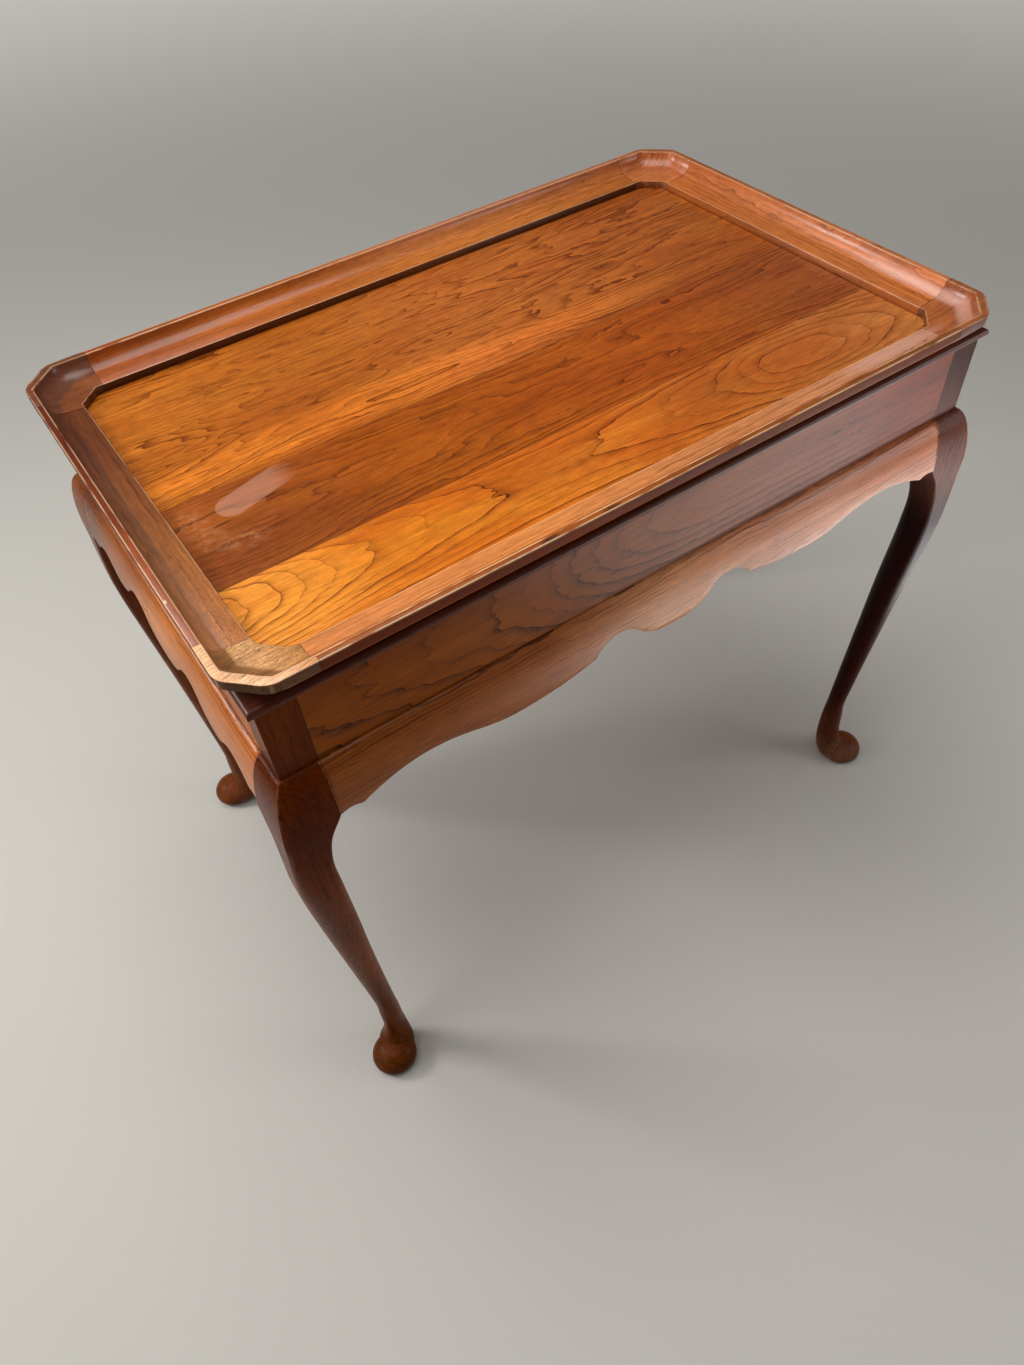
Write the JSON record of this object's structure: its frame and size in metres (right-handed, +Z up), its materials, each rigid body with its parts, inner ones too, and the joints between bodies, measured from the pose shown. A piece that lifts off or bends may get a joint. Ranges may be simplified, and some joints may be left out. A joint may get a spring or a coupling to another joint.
{
  "type": "tray top tea table",
  "caption": "Rectangular wooden tea table with a coved tray top, scalloped cushion-moulded aprons and cabriole legs on pad feet.",
  "frame": {"origin": "on the floor under the middle of the table", "axes": "+X along the table's length to the right, -Y towards the front, +Z up"},
  "size_m": [0.7912, 0.5152, 0.6845],
  "materials": {
    "front_board": "satin varnish, worn",
    "middle_board": "satin varnish, worn",
    "back_board": "satin varnish, worn",
    "rim": "satin varnish, worn",
    "worn_corner": "satin varnish, worn",
    "moulding": "satin varnish, worn",
    "upper_apron": "satin varnish, worn",
    "lower_apron": "satin varnish, worn",
    "leg": "satin varnish, worn",
    "cleat": "unfinished",
    "screw": "bare steel"
  },
  "bodies": {
    "root": {"tray_board_front": "front_board", "tray_board_middle": "middle_board", "tray_board_back": "back_board", "tray_rail_front": "rim", "tray_rail_back": "rim", "tray_rail_left": "rim", "tray_rail_right": "rim", "tray_corner_front_left": "worn_corner", "tray_corner_front_right": "rim", "tray_corner_back_left": "rim", "tray_corner_back_right": "rim", "top_moulding_front": "moulding", "top_moulding_back": "moulding", "top_moulding_left": "moulding", "top_moulding_right": "moulding", "upper_apron_front": "upper_apron", "upper_apron_back": "upper_apron", "upper_apron_left": "upper_apron", "upper_apron_right": "upper_apron", "lower_apron_front": "lower_apron", "lower_apron_back": "lower_apron", "lower_apron_left": "lower_apron", "lower_apron_right": "lower_apron", "leg_front_left": "leg", "leg_front_right": "leg", "leg_back_left": "leg", "leg_back_right": "leg", "tray_cleat_front": "cleat", "tray_cleat_back": "cleat", "tray_cleat_left": "cleat", "tray_cleat_right": "cleat", "tray_screws": "screw", "cleat_screws": "screw"}
  },
  "joints": []
}
